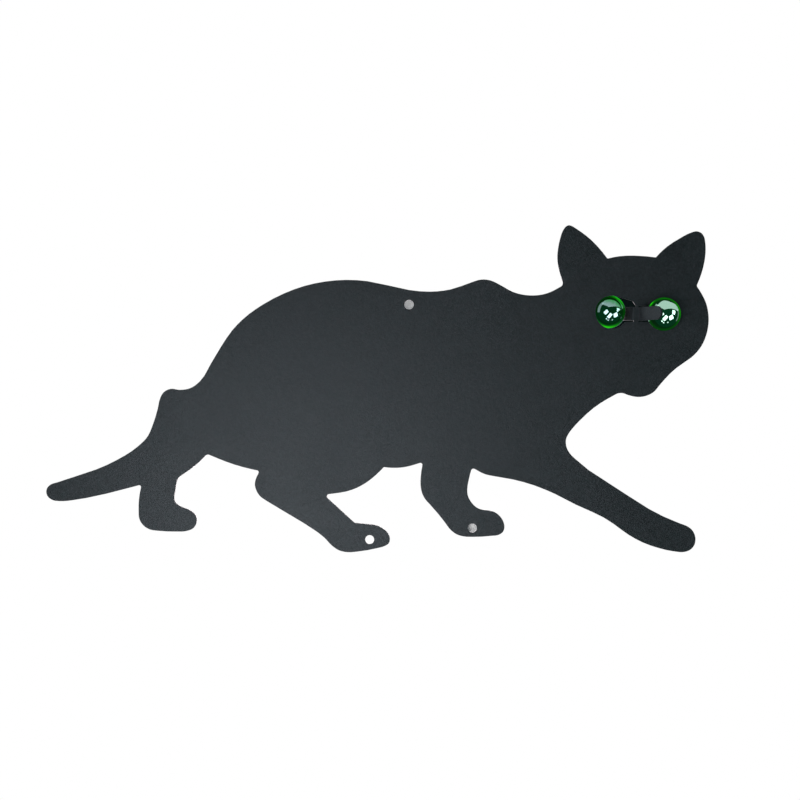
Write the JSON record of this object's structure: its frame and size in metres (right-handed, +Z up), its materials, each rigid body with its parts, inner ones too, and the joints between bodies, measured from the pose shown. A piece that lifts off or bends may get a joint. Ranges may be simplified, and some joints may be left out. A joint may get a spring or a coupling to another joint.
{
  "type": "prowling cat silhouette with marble eyes",
  "caption": "Flat sheet-steel prowling cat with lustre-glass marble eyes pinched by bent tongues, and round holes for hanging or fixing.",
  "frame": {"origin": "centre of the hanging hole, at the middle of the sheet's thickness", "axes": "+X the way the cat walks, -Y out of the front face that the right tongue is bent towards, +Z up"},
  "size_m": [0.3178, 0.0278, 0.1569],
  "materials": {
    "powder_coat": "fine-textured satin black powder coat",
    "lustre_glass": "polished green glass with a mirror-like iridescent lustre"
  },
  "bodies": {
    "plate": {"cat_plate": "powder_coat"},
    "left_marble": {"left_eye_marble": "lustre_glass"},
    "right_marble": {"right_eye_marble": "lustre_glass"}
  },
  "joints": [
    {"name": "left_eye_roll", "type": "hinge", "parent": "plate", "child": "left_marble", "pos_m": [0.09643, 0.00459, -0.0031], "axis": [0, 1, 0], "continuous": true},
    {"name": "right_eye_roll", "type": "hinge", "parent": "plate", "child": "right_marble", "pos_m": [0.12205, -0.00188, -0.0046], "axis": [0, 1, 0], "continuous": true}
  ]
}
